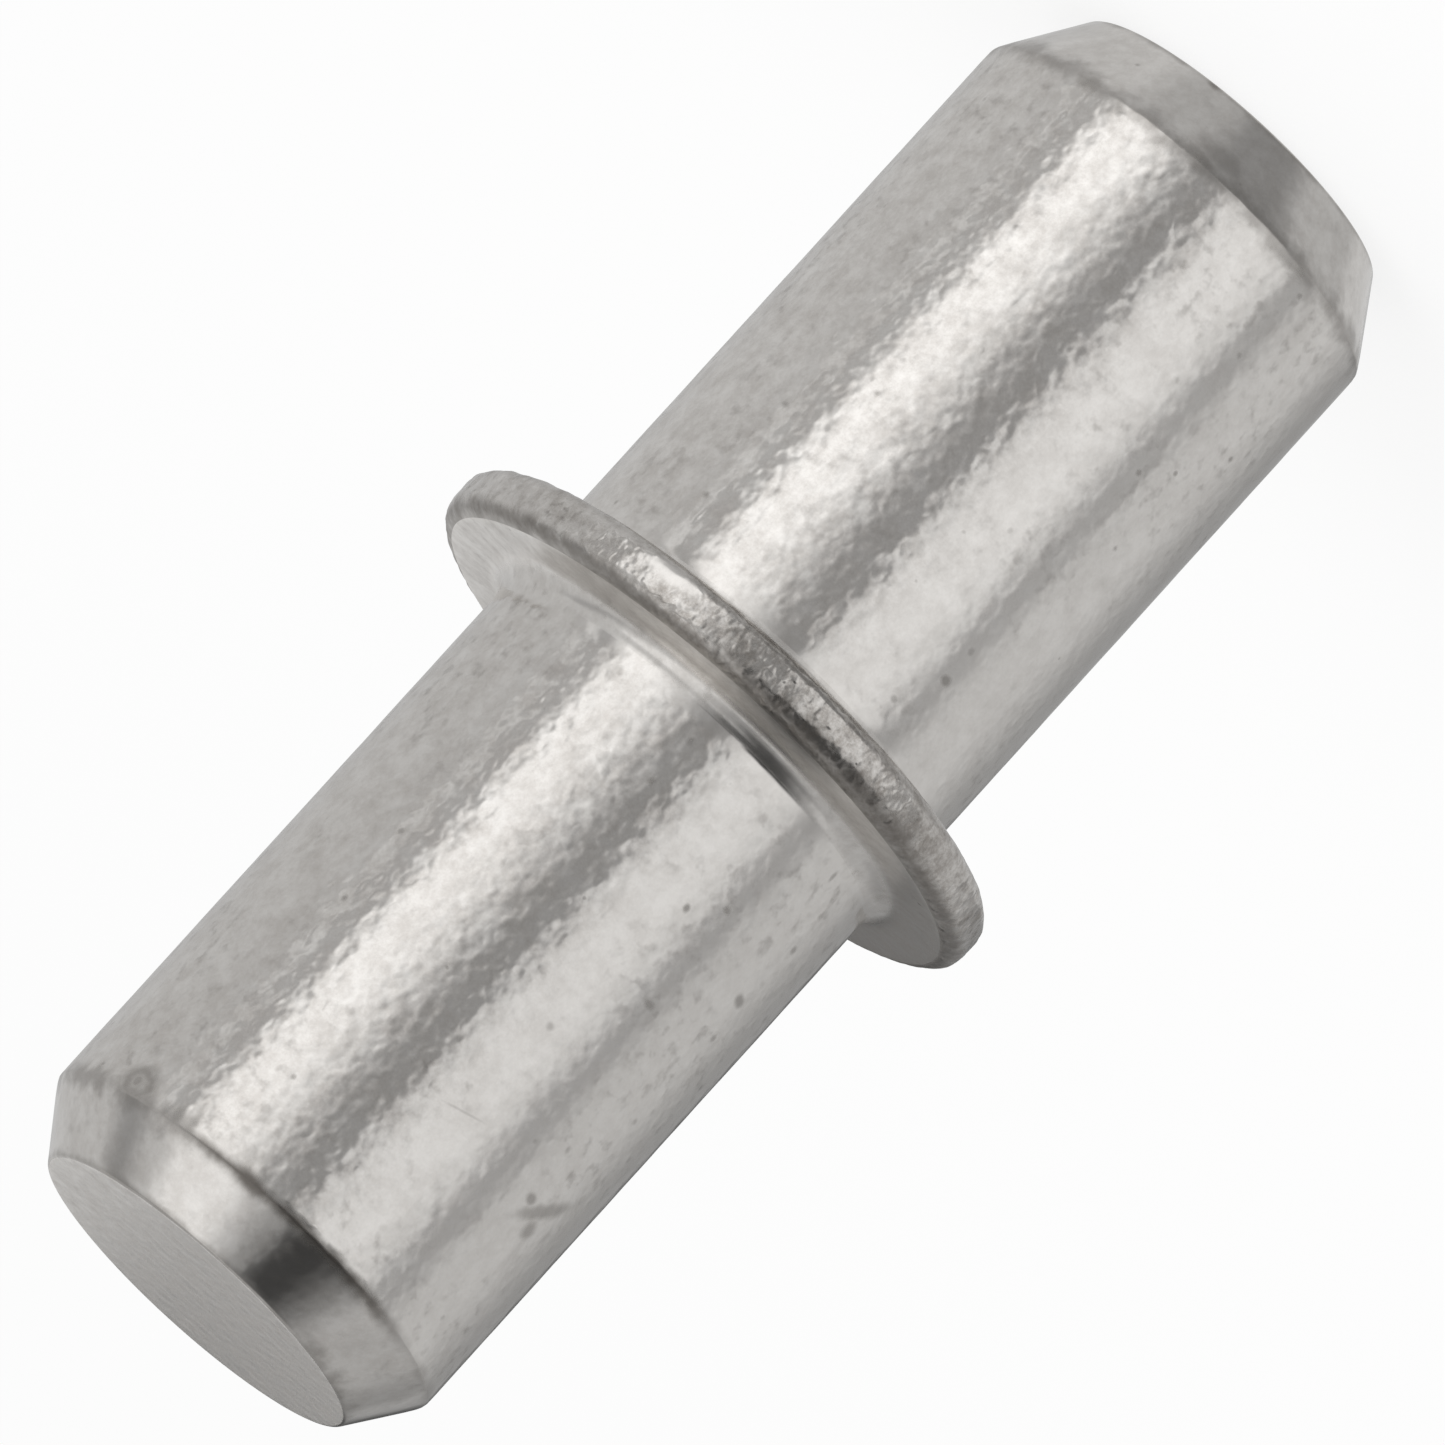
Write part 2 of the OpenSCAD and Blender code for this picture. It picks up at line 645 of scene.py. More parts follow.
    @staticmethod
    def _mark(
        wiring: Wiring, groups: PlatingGroups, place: Socket, uneven: Socket, mark: Mark, reach: float,
    ) -> Socket:
        """Places one blemish or one spot of painted highlight.

        Args:
            wiring: The material's wiring.
            groups: The shared node groups.
            place: Object coordinates.
            uneven: Unevenness of its edge.
            mark: The blemish or spot of painted highlight.
            reach: Radius at which it lies.

        Returns:
            Its mask's socket.
        """
        mapping = wiring.add("ShaderNodeMapping", vector_type="TEXTURE")
        wiring.feed(mapping.inputs["Vector"], place)
        mapping.inputs["Location"].default_value = reach * aim(mark.azimuth, 0.0) + mark.height * AXIS
        mapping.inputs["Rotation"].default_value = (0.0, math.radians(mark.turn), -math.radians(mark.azimuth))
        mapping.inputs["Scale"].default_value = (mark.across, reach, mark.along)
        mask = wiring.group(
            groups.blot, Vector=mapping.outputs["Vector"], Uneven=uneven, Ragged=mark.ragged,
            Hollow=mark.hollow,
        )["Mask"]
        return wiring.math("MULTIPLY", mask, mark.depth)


STEEL = (0.72, 0.701, 0.676)
PALE_STEEL = (0.80, 0.78, 0.752)
DULL_STEEL = (0.67, 0.65, 0.626)
STAIN = (0.48, 0.45, 0.42)
DARK_STAIN = (0.31, 0.285, 0.26)
PEBBLED = Plating(
    "pebbled_plating", STEEL, STAIN, stained=0.65, specked=0.36, roughness=0.18, unevenness=0.06,
    # Its calm side, -X, is painted light: the stain thins there, so that side is lighter and evener
    grain_depth=1.1e-5, pebbles=0.3, pit_share=0.35, calm=(-0.1 * MM, -0.8 * MM), calm_share=0.55,
)
TURNED = Plating(
    "turned_plating", STEEL, STAIN, stained=0.5, specked=0.2, roughness=0.12, unevenness=0.05,
    grain_depth=2e-6, pebbles=0.12, pit_share=0.15,
)
SEAT = Plating(
    "seat_plating", PALE_STEEL, STAIN, stained=0.5, specked=0.2, roughness=0.36, unevenness=0.06,
    grain_depth=2e-6, pebbles=0.12, pit_share=0.15,
)
ROOT = Plating(
    "root_plating", STEEL, STAIN, stained=0.5, specked=0.2, roughness=0.24, unevenness=0.06,
    grain_depth=2e-6, pebbles=0.12, pit_share=0.15,
)
RIM = Plating(
    "rim_plating", DULL_STEEL, DARK_STAIN, stained=0.95, specked=0.6, roughness=0.19, unevenness=0.1,
    grain_depth=1.05e-5, pebbles=0.5, pit_share=0.2, grain_scale=4200.0,
    # Its calm side, +X, is painted light: the stain thins there, so the rim is lighter on that side
    calm=(0.9 * MM, 2.0 * MM), calm_share=0.7,
)
END_FACE = Plating(
    "end_face_plating", PALE_STEEL, STAIN, stained=0.5, specked=0.25, roughness=0.34, unevenness=0.1,
    grain_depth=4e-6, pebbles=0.12, pit_share=0.1,
)
MARKS = (
    # Single pits on the upper shank
    Mark(azimuth=25.3, height=2.43 * MM, along=0.065 * MM, across=0.05 * MM, depth=0.55),
    Mark(azimuth=33.8, height=2.13 * MM, along=0.06 * MM, across=0.07 * MM, depth=0.5),
    Mark(azimuth=57.3, height=2.58 * MM, along=0.08 * MM, across=0.12 * MM, depth=0.55),
    Mark(azimuth=35.3, height=3.38 * MM, along=0.06 * MM, across=0.10 * MM, depth=0.5),
    Mark(azimuth=19.9, height=4.30 * MM, along=0.06 * MM, across=0.06 * MM, depth=0.3),
    Mark(azimuth=51.5, height=1.02 * MM, along=0.09 * MM, across=0.04 * MM, depth=0.4),
    # The scar near the upper end, a dot, a streak and a blob, and a faint scratch further round
    Mark(azimuth=48.8, height=5.60 * MM, along=0.075 * MM, across=0.11 * MM, depth=0.5),
    Mark(azimuth=55.8, height=5.56 * MM, along=0.11 * MM, across=0.54 * MM, turn=-39, depth=0.5),
    Mark(azimuth=56.0, height=5.81 * MM, along=0.15 * MM, across=0.13 * MM, depth=0.5),
    Mark(azimuth=18.5, height=5.55 * MM, along=0.02 * MM, across=0.30 * MM, turn=-17, depth=0.2),
    # The ring-shaped mark on the upper shoulder and the dot in it
    Mark(
        azimuth=-47.7, height=7.45 * MM, along=0.25 * MM, across=0.29 * MM,
        depth=0.75, hollow=0.6, ragged=0.42,
    ),
    Mark(azimuth=-48.5, height=7.43 * MM, along=0.09 * MM, across=0.08 * MM, depth=0.5),
    # Single pits on the lower shank
    Mark(azimuth=36.0, height=-1.17 * MM, along=0.07 * MM, across=0.08 * MM, depth=0.6),
    Mark(azimuth=35.9, height=-1.57 * MM, along=0.06 * MM, across=0.05 * MM, depth=0.4),
    Mark(azimuth=28.7, height=-0.63 * MM, along=0.05 * MM, across=0.06 * MM, depth=0.4),
)
# A painted highlight on the collar's rim: a spot where the stain, specks and grain are cleared, so that it
# shows bright
RIM_PAINTED_HIGHLIGHT = (
    Mark(azimuth=-22.4, height=0.17 * MM, along=0.13 * MM, across=0.40 * MM, depth=0.95),
)
# Stains on the lower chamfer
STAINS = (
    Mark(azimuth=-1, height=-7.05 * MM, along=0.16 * MM, across=0.38 * MM, depth=0.4),
    Mark(azimuth=19, height=-7.02 * MM, along=0.22 * MM, across=0.34 * MM, depth=0.25),
    Mark(azimuth=-17, height=-7.69 * MM, along=0.07 * MM, across=0.14 * MM, depth=0.7),
)


@dataclass(frozen=True)
class Corner:
    """A corner of the pin's half section.

    Attributes:
        r: Distance from the axis.
        z: Height.
        rounding: Radius of the arc that rounds it.
    """

    r: float
    z: float
    rounding: float = 0.0

    def place(self) -> Vector:
        """Gives the corner as a point of the section's plane."""
        return Vector((self.r, self.z))


@dataclass(frozen=True)
class Roughening:
    """Uneven depth of one zone, pressed inwards by a displacement.

    Attributes:
        name: Name of its vertex group, modifier and texture.
        depth: Deepest dent.
        grain: Size of the dents.
        weight: Share of the depth at a distance from the axis and a height.
        layers: Finer layers that are added to the dents.
    """

    name: str
    depth: float
    grain: float
    weight: Callable[[float, float], float]
    layers: int = 2


def fade(value: float, start: float, end: float) -> float:
    """Goes smoothly from 0 to 1.

    Args:
        value: The value to place.
        start: Where the result is 0.
        end: Where the result is 1.

    Returns:
        The share of the way, between 0 and 1.
    """
    share = min(max((value - start) / (end - start), 0.0), 1.0)
    return share * share * (3 - 2 * share)


class SectionPen:
    """Draws a half section in edit mode, as one chain of edges in the XZ plane."""

    def __init__(self, start: Vector, row: float, bend: float) -> None:
        """Takes over a mesh that is one selected vertex.

        Args:
            start: Where that vertex is, as distance from the axis and height.
            row: Longest edge on straight runs.
            bend: Most degrees of an arc that one edge spans.
        """
        self.at = start.copy()
        self.row = row
        self.bend = math.radians(bend)

    def line_to(self, end: Vector, row: float | None = None) -> None:
        """Extrudes straight to a point.

        Args:
            end: Where the run ends.
            row: Longest edge on this run, where it isn't the pen's own.
        """
        run = end - self.at
        steps = max(1, math.ceil(run.length / (row or self.row)))
        step = run / steps
        for _ in range(steps):
            bpy.ops.mesh.extrude_vertices_move(TRANSFORM_OT_translate={"value": (step.x, 0, step.y)})
        self.at = end.copy()

    def arc(self, centre: Vector, turn: float) -> None:
        """Spins the last vertex round an arc.

        Args:
            centre: The arc's centre.
            turn: How far it turns, in radians, positive to the left.
        """
        steps = max(2, math.ceil(abs(turn) / self.bend))
        middle = (centre.x, 0, centre.y)
        bpy.ops.mesh.spin(steps=steps, angle=turn, center=middle, axis=(0, 1, 0))
        self.at = centre + Matrix.Rotation(turn, 2) @ (self.at - centre)

    def round_corner(self, corner: Corner, after: Corner) -> None:
        """Draws up to a corner and round it.

        Args:
            corner: The corner to round.
            after: The next corner, which the chain turns towards.
        """
        way_in = (corner.place() - self.at).normalized()
        way_out = (after.place() - corner.place()).normalized()
        turn = math.atan2(way_in.x * way_out.y - way_in.y * way_out.x, way_in.dot(way_out))
        start = corner.place() - corner.rounding * math.tan(abs(turn) / 2) * way_in
        self.line_to(start)
        left = Vector((-way_in.y, way_in.x))
        self.arc(start + math.copysign(corner.rounding, turn) * left, turn)


@dataclass
class ShelfPin:
    """The pin: two shanks with chamfered ends and a thin collar between them, all one piece.

    Attributes:
        shank_r: Radius of both shanks.
        collar_r: Radius of the collar.
        lower_end: Height of the lower end face.
        lower_seat: Height of the collar's lower face.
        upper_seat: Height of the collar's upper face.
        upper_end: Height of the upper end face.
        rim_r: Radius on both edges of the collar's rim.
        root_r: Radius of the fillets at the collar's roots.
        lower_chamfer_l: Length of the lower chamfer, along the pin.
        lower_chamfer_w: Depth of the lower chamfer, into the shank.
        upper_chamfer_l: Length of the upper chamfer, along the pin.
        upper_chamfer_w: Depth of the upper chamfer, into the shank.
        edge_r: Radius on the edges of the end faces.
        shoulder_r: Radius on the edges between the shanks and their chamfers.
        row: Longest edge of the mesh on straight runs.
        bend: Most degrees of an arc that one edge of the section spans.
        turns: Steps of the mesh round the axis.
        soft_rows: Rows of the mesh over which one zone fades into the next.
        rim_band: Where the rim's finish starts and where it is full, in rim radii from the collar's edge.
        seat_band: Where the seats' finish starts and where it is full, in root radii from the shank.
        shank_slack: How far outside the shank's radius a face still counts as the shank's.
        end_facing: How squarely a face looks along the axis to count as an end face, from 0 to 1.
        name: The piece's name.
    """

    shank_r: float
    collar_r: float
    lower_end: float
    lower_seat: float
    upper_seat: float
    upper_end: float
    rim_r: float = 0.21 * MM
    root_r: float = 0.28 * MM
    lower_chamfer_l: float = 0.88 * MM
    lower_chamfer_w: float = 0.55 * MM
    upper_chamfer_l: float = 0.72 * MM
    upper_chamfer_w: float = 0.5 * MM
    edge_r: float = 0.06 * MM
    shoulder_r: float = 0.1 * MM
    row: float = 0.075 * MM
    bend: float = 10.0
    turns: int = 300
    soft_rows: int = 2
    rim_band: Band = (1.15, 0.6)
    seat_band: Band = (0.3, 0.95)
    shank_slack: float = 0.01 * MM
    end_facing: float = 0.98
    name: str = "plated_pin"

    @classmethod
    def from_frame(cls) -> "ShelfPin":
        """Takes the pin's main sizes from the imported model.

        Returns:
            A pin of those sizes.
        """
        low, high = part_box(NODE)
        mounts = {mount["name"]: mount for mount in frame["record"]["mounts"]}
        return cls(
            shank_r=mounts["upper_shank"]["dims"]["r_mm"] * MM,
            collar_r=high.x,
            lower_end=low.z,
            lower_seat=mounts["lower_seat"]["pos_m"][2],
            upper_seat=mounts["upper_seat"]["pos_m"][2],
            upper_end=high.z,
        )

    @property
    def lower_edge(self) -> float:
        """Height of the edge between the lower shank and its chamfer."""
        return self.lower_end + self.lower_chamfer_l

    @property
    def upper_edge(self) -> float:
        """Height of the edge between the upper shank and its chamfer."""
        return self.upper_end - self.upper_chamfer_l

    def corners(self) -> list[Corner]:
        """Lists the half section's corners.

        Returns:
            The corners, counter-clockwise from the axis at the lower end.
        """
        return [
            Corner(0, self.lower_end),
            Corner(self.shank_r - self.lower_chamfer_w, self.lower_end, self.edge_r),
            Corner(self.shank_r, self.lower_edge, self.shoulder_r),
            Corner(self.shank_r, self.lower_seat, self.root_r),
            Corner(self.collar_r, self.lower_seat, self.rim_r),
            Corner(self.collar_r, self.upper_seat, self.rim_r),
            Corner(self.shank_r, self.upper_seat, self.root_r),
            Corner(self.shank_r, self.upper_edge, self.shoulder_r),
            Corner(self.shank_r - self.upper_chamfer_w, self.upper_end, self.edge_r),
            Corner(0, self.upper_end),
        ]

    def build(self) -> bpy.types.Object:
        """Models the pin and dresses it.

        Returns:
            The finished piece.
        """
        piece = self._turn()
        for roughening in self._roughenings():
            self._roughen(piece, roughening)
        self._dress(piece)
        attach(piece, BODY)
        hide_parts(NODE)
        return piece

    def _turn(self) -> bpy.types.Object:
        """Draws the half section and spins it about the axis.

        Returns:
            The pin's smooth body.
        """
        first, *middle, last = self.corners()
        piece = start_vertex(self.name, Vector((first.r, 0, first.z)))
        pen = SectionPen(first.place(), self.row, self.bend)
        for corner, after in zip(middle, [*middle[1:], last]):
            pen.round_corner(corner, after)
        pen.line_to(last.place())
        bpy.ops.mesh.select_all(action="SELECT")
        bpy.ops.mesh.spin(steps=self.turns, angle=math.tau, center=(0, 0, 0), axis=AXIS)
        bpy.ops.mesh.select_all(action="SELECT")
        bpy.ops.mesh.remove_doubles(threshold=MERGE_GAP)
        bpy.ops.mesh.normals_make_consistent(inside=False)
        bpy.ops.object.mode_set(mode="OBJECT")
        bpy.ops.object.shade_smooth()
        return piece

    @property
    def soft(self) -> float:
        """How far one zone takes to fade into the next."""
        return self.soft_rows * self.row

    def rim_share(self, r: float, z: float) -> float:
        """Weighs the collar's rim."""
        start, full = (self.collar_r - share * self.rim_r for share in self.rim_band)
        return fade(r, start, full)

    def shank_share(self, r: float, z: float) -> float:
        """Weighs the two shanks, away from the collar and the chamfers.

        Args:
            r: Distance from the axis; not used.
            z: Height.

        Returns:
            The shanks' share there, from 0 to 1.
        """
        above = fade(z, self.upper_seat + self.root_r, self.upper_seat + self.root_r + self.soft)
        below = fade(z, self.lower_seat - self.root_r, self.lower_seat - self.root_r - self.soft)
        upper = fade(z, self.upper_edge, self.upper_edge - self.soft)
        lower = fade(z, self.lower_edge, self.lower_edge + self.soft)
        return max(above, below) * upper * lower

    def edge_share(self, r: float, z: float) -> float:
        """Weighs the edges where the shanks meet their chamfers."""
        return fade(min(abs(z - self.upper_edge), abs(z - self.lower_edge)), self.soft, 0.0)

    def seat_share(self, r: float, z: float) -> float:
        """Weighs the collar's flat faces against the fillets at their roots."""
        start, full = (self.shank_r + share * self.root_r for share in self.seat_band)
        return fade(r, start, full)

    def end_share(self, r: float, z: float) -> float:
        """Weighs the two end faces."""
        return fade(min(abs(z - self.upper_end), abs(z - self.lower_end)), self.edge_r, 0.0)

    def _roughenings(self) -> list[Roughening]:
        """Lists the uneven zones, each fading out where the next begins.

        Returns:
            The roughenings in the order in which they are pressed.
        """
        return [
            Roughening("rim_lumps", depth=0.028 * MM, grain=0.20 * MM, weight=self.rim_share),
            Roughening("shank_waves", depth=0.006 * MM, grain=0.45 * MM, weight=self.shank_share),
            Roughening("edge_nicks", depth=0.012 * MM, grain=0.15 * MM, weight=self.edge_share),
        ]

    @staticmethod
    def _roughen(piece: bpy.types.Object, roughening: Roughening) -> None:
        """Presses one zone's dents into the mesh.

        Args:
            piece: The pin.
            roughening: The zone and its dents.
        """
        group = piece.vertex_groups.new(name=roughening.name)
        for vertex in piece.data.vertices:
            weight = roughening.weight(vertex.co.xy.length, vertex.co.z)
            if weight > 0:
                group.add([vertex.index], weight, "REPLACE")
        texture = bpy.data.textures.new(roughening.name, "CLOUDS")
        texture.noise_scale = roughening.grain
        texture.noise_depth = roughening.layers
        modifier = piece.modifiers.new(roughening.name, "DISPLACE")
        modifier.texture = texture
        modifier.texture_coords = "LOCAL"
        modifier.vertex_group = group.name
        modifier.mid_level = 0.0
        modifier.strength = -roughening.depth
        bpy.ops.object.modifier_apply(modifier=modifier.name)
        piece.vertex_groups.remove(piece.vertex_groups[roughening.name])

    def zone(self, centre: Vector, normal: Vector) -> Zone:
        """Tells which zone a face belongs to.

        Args:
            centre: The face's centre.
            normal: The face's normal.

        Returns:
            Its zone.
        """
        r = centre.xy.length
        if self.lower_edge < centre.z < self.upper_edge:
            if r > self.collar_r - self.rim_band[0] * self.rim_r:
                return Zone.RIM
            return Zone.SHANK if r < self.shank_r + self.shank_slack else Zone.SEAT
        end_r = self.shank_r - max(self.lower_chamfer_w, self.upper_chamfer_w)
        return Zone.END if abs(normal.z) > self.end_facing or r < end_r else Zone.CHAMFER

    def _dress(self, piece: bpy.types.Object) -> None:
        """Gives each zone its finish.

        Args:
            piece: The pin.
        """
        places = [(vertex.co.xy.length, vertex.co.z) for vertex in piece.data.vertices]
        shares = [max(self.shank_share(*p), self.rim_share(*p), self.end_share(*p)) for p in places]
        piece.data.attributes.new(SHARE, "FLOAT", "POINT").data.foreach_set("value", shares)
        seats = [self.seat_share(*p) for p in places]
        piece.data.attributes.new(SEAT_SHARE, "FLOAT", "POINT").data.foreach_set("value", seats)
        groups = PlatingGroups()
        shoulders = (
            # Residue, darkened towards azimuth 7 as painted reflection of the dark surroundings that the edge
            # faces
            EdgeLine(self.upper_edge, width=0.14 * MM, broken=1.1, depth=0.95, azimuth=7, spread=54),
            EdgeLine(self.upper_edge, width=0.22 * MM, broken=2.4, depth=0.5, azimuth=-60, spread=60),
            EdgeLine(self.upper_edge, width=0.12 * MM, broken=2.2, depth=0.3),
            EdgeLine(self.lower_edge, width=0.24 * MM, broken=2.0, depth=0.55),
        )
        ends = (
            EdgeLine(self.upper_end, width=0.09 * MM, broken=1.6, depth=0.5),
            EdgeLine(self.upper_end, width=0.20 * MM, broken=2.4, depth=0.5, azimuth=62, spread=45),
            EdgeLine(self.lower_end, width=0.09 * MM, broken=1.6, depth=0.5),
        )
        rims = (
            EdgeLine(self.upper_seat, width=0.15 * MM, broken=1.2, depth=0.7, shift=-0.05 * MM),
            # Painted reflection: the dark streak on the rim next to the upper seat, darkest towards azimuth
            # 19
            EdgeLine(
                self.upper_seat, width=0.25 * MM, broken=1.0, depth=0.75,
                azimuth=19, spread=40, shift=-0.10 * MM,
            ),
            EdgeLine(self.lower_seat, width=0.12 * MM, broken=1.2, depth=0.3, shift=0.06 * MM),
        )
        finishes = {
            Zone.SHANK: PEBBLED.material(groups, TURNED, shoulders, MARKS, self.shank_r),
            Zone.CHAMFER: TURNED.material(groups, TURNED, (*shoulders, *ends), STAINS, self.shank_r),
            Zone.SEAT: SEAT.material(groups, ROOT, (), (), self.shank_r, SEAT_SHARE),
            Zone.RIM: RIM.material(groups, SEAT, rims, (), self.collar_r, painted_highlights=RIM_PAINTED_HIGHLIGHT),
            Zone.END: END_FACE.material(groups, TURNED, (), (), self.shank_r),
        }
        for zone in Zone:
            bpy.ops.object.material_slot_add()
            piece.material_slots[zone.value].material = finishes[zone]
        bpy.ops.object.mode_set(mode="EDIT")
        bpy.ops.mesh.select_mode(type="FACE")
        for zone in Zone:
            mesh = bmesh.from_edit_mesh(piece.data)
            for face in mesh.faces:
                face.select_set(self.zone(face.calc_center_median(), face.normal) is zone)
            mesh.select_flush_mode()
            bmesh.update_edit_mesh(piece.data)
            piece.active_material_index = zone.value
            bpy.ops.object.material_slot_assign()
        bpy.ops.object.mode_set(mode="OBJECT")


@dataclass(frozen=True)
class Softbox:
    """A rectangular lamp that faces the pin.

    Attributes:
        name: The lamp's name.
        azimuth: Degrees round the axis from the camera's side, positive towards -X.
        elevation: Degrees above the horizontal.
        width: Degrees that it spans across.
        height: Degrees that it spans upwards.
        radiance: How bright its face is, where 1 is white.
        distance: How far it stands from the pin.
    """

    name: str
    azimuth: float
    elevation: float
    width: float
    height: float
    radiance: float
    distance: float = 0.3

    def build(self) -> bpy.types.Object:
        """Sets up the lamp.

        Returns:
            The lamp.
        """
        way = aim(self.azimuth, self.elevation)
        bpy.ops.object.light_add(type="AREA", location=self.distance * way)
        lamp = bpy.context.object
        lamp.name = lamp.data.name = self.name
        lamp.rotation_euler = way.to_track_quat("Z", "Y").to_euler()
        lamp.data.shape = "RECTANGLE"
        lamp.data.size = 2 * self.distance * math.tan(math.radians(self.width / 2))
        lamp.data.size_y = 2 * self.distance * math.tan(math.radians(self.height / 2))
        lamp.data.energy = self.radiance * math.pi * lamp.data.size * lamp.data.size_y
        lamp.visible_camera = False
        lamp.visible_glossy = False
        return lamp


def start_vertex(name: str, place: Vector) -> bpy.types.Object:
    """Starts a mesh as one vertex, with edit mode on and the vertex selected.

    Args:
        name: The object's name.
        place: Where the vertex goes.

    Returns:
        The new object.
    """
    bpy.ops.object.select_all(action="DESELECT")
    bpy.ops.mesh.primitive_plane_add(size=MM)
    piece = bpy.context.object
    piece.name = piece.data.name = name
    bpy.ops.object.mode_set(mode="EDIT")
    bpy.ops.mesh.select_mode(type="VERT")
    bpy.ops.mesh.select_all(action="SELECT")
    bpy.ops.mesh.merge(type="CENTER")
    bpy.ops.transform.translate(value=place)
    return piece


def only_in_reflections(card: bpy.types.Object) -> None:
    """Hides a card from all but the pin's reflections.

    Args:
        card: The card.
    """
    card.visible_camera = False
    card.visible_diffuse = False
    card.visible_shadow = False
    card.visible_transmission = False


def start_card_material(name: str) -> tuple[bpy.types.Material, Wiring, bpy.types.NodeOutputs]:
    """Starts a card's material.

    Args:
        name: The material's name.

    Returns:
        The material, its wiring, and the place on the card as X, Y and Z.
    """
    material = bpy.data.materials.new(name)
    material.use_nodes = True
    material.cycles.emission_sampling = "NONE"
    wiring = Wiring(material.node_tree)
    place = wiring.add("ShaderNodeSeparateXYZ")
    wiring.feed(place.inputs["Vector"], wiring.add("ShaderNodeTexCoord").outputs["Object"])
    return material, wiring, place.outputs


def finish_card_material(
    material: bpy.types.Material, wiring: Wiring, shade: float, mask: Socket,
) -> None:
    """Gives a card its shade where its mask is 1 and leaves it clear where it is 0.

    Args:
        material: The material.
        wiring: Its wiring.
        shade: How bright the card is, where 1 is white.
        mask: The mask.
    """
    glow = wiring.add("ShaderNodeEmission")
    glow.inputs["Color"].default_value = WHITE
    glow.inputs["Strength"].default_value = shade
    mixed = wiring.add("ShaderNodeMixShader")
    wiring.feed(mixed.inputs[0], mask)
    wiring.feed(mixed.inputs[1], wiring.add("ShaderNodeBsdfTransparent").outputs["BSDF"])
    wiring.feed(mixed.inputs[2], glow.outputs["Emission"])
    wiring.feed(material.node_tree.nodes["Material Output"].inputs["Surface"], mixed.outputs["Shader"])


@dataclass(frozen=True)
class Card:
    """A curved card with soft edges, round the pin, that only shows in its reflections.

    Attributes:
        name: The card's name.
        azimuths: Its edges round the axis, in degrees from the camera's side, positive towards -X.
        elevations: Its lower and upper edge, in degrees above the horizontal.
        shade: How bright it is, where 1 is white.
        soft: Degrees over which the edges fade, first and last azimuth, then both elevations.
        away: How far it stands from the pin.
        steps: Edges that each of its bends is made of.
    """

    name: str
    azimuths: Band
    elevations: Band
    shade: float
    soft: tuple[float, float, float] = (8.0, 8.0, 8.0)
    away: float = 0.2
    steps: int = 24

    def build(self) -> bpy.types.Object:
        """Bends the card by two spins, turns it to its place and dresses it.

        Returns:
            The card.
        """
        half = (self.azimuths[1] - self.azimuths[0]) / 2
        low, high = self.elevations
        card = start_vertex(self.name, self.away * aim(-half, low))
        across = aim(-half, 0).cross(AXIS)
        bpy.ops.mesh.spin(steps=self.steps, angle=math.radians(low - high), center=(0, 0, 0), axis=across)
        bpy.ops.mesh.select_all(action="SELECT")
        bpy.ops.mesh.spin(steps=self.steps, angle=math.radians(2 * half), center=(0, 0, 0), axis=AXIS)
        bpy.ops.object.mode_set(mode="OBJECT")
        card.rotation_euler.z = -math.radians(sum(self.azimuths) / 2)
        card.data.materials.append(self._material(math.radians(half)))
        only_in_reflections(card)
        return card

    def _material(self, half: float) -> bpy.types.Material:
        """Makes the card's shade, which fades towards its edges.

        Args:
            half: Half the angle that the card spans round the axis.

        Returns:
            The material.
        """
        material, wiring, place = start_card_material(self.name)
        first, last, ends = (math.radians(angle) for angle in self.soft)
        low, high = (math.radians(angle) for angle in self.elevations)
        left = wiring.math("MULTIPLY", place["X"], -1.0)
        front = wiring.math("MULTIPLY", place["Y"], -1.0)
        azimuth = wiring.math("ARCTAN2", left, front)
        elevation = wiring.math("ARCSINE", wiring.math("DIVIDE", place["Z"], self.away))
        mask = wiring.ramp(azimuth, -half, first - half)
        mask = wiring.math("MULTIPLY", mask, wiring.ramp(azimuth, half, half - last))
        mask = wiring.math("MULTIPLY", mask, wiring.ramp(elevation, low, low + ends))
        mask = wiring.math("MULTIPLY", mask, wiring.ramp(elevation, high, high - ends))
        finish_card_material(material, wiring, self.shade, mask)
        return material


@dataclass(frozen=True)
class BackCard:
    """A flat dark card close behind the pin on its -X side, which only shows in its reflections.

    Attributes:
        name: The card's name.
        gap: How far behind the axis it stands.
        edge: Where it starts to darken and where it is full, across the pin.
        reach: How far it goes to the side.
        heights: Its lower and upper edge.
        soft: How far its far side and its lower edge take to fade.
        shade: How bright it is, where 1 is white.
    """

    name: str = "back_card"
    gap: float = 22 * MM
    edge: Band = (3.0 * MM, 0.0 * MM)
    reach: float = 10 * MM
    heights: Band = (-8 * MM, 15 * MM)
    soft: float = 4 * MM
    shade: float = 0.10

    def build(self) -> bpy.types.Object:
        """Sets up the card and dresses it.

        Returns:
            The card.
        """
        low, high = self.heights
        card = start_vertex(self.name, Vector((self.edge[0], self.gap, low)))
        bpy.ops.mesh.extrude_vertices_move(TRANSFORM_OT_translate={"value": (0, 0, high - low)})
        bpy.ops.mesh.select_all(action="SELECT")
        bpy.ops.mesh.extrude_edges_move(TRANSFORM_OT_translate={"value": (-self.edge[0] - self.reach, 0, 0)})
        bpy.ops.object.mode_set(mode="OBJECT")
        material, wiring, place = start_card_material(self.name)
        mask = wiring.ramp(place["X"], *self.edge)
        mask = wiring.math("MULTIPLY", mask, wiring.ramp(place["Z"], low, low + self.soft))
        mask = wiring.math("MULTIPLY", mask, wiring.ramp(place["X"], -self.reach, self.soft - self.reach))
        finish_card_material(material, wiring, self.shade, mask)
        card.data.materials.append(material)
        only_in_reflections(card)
        return card


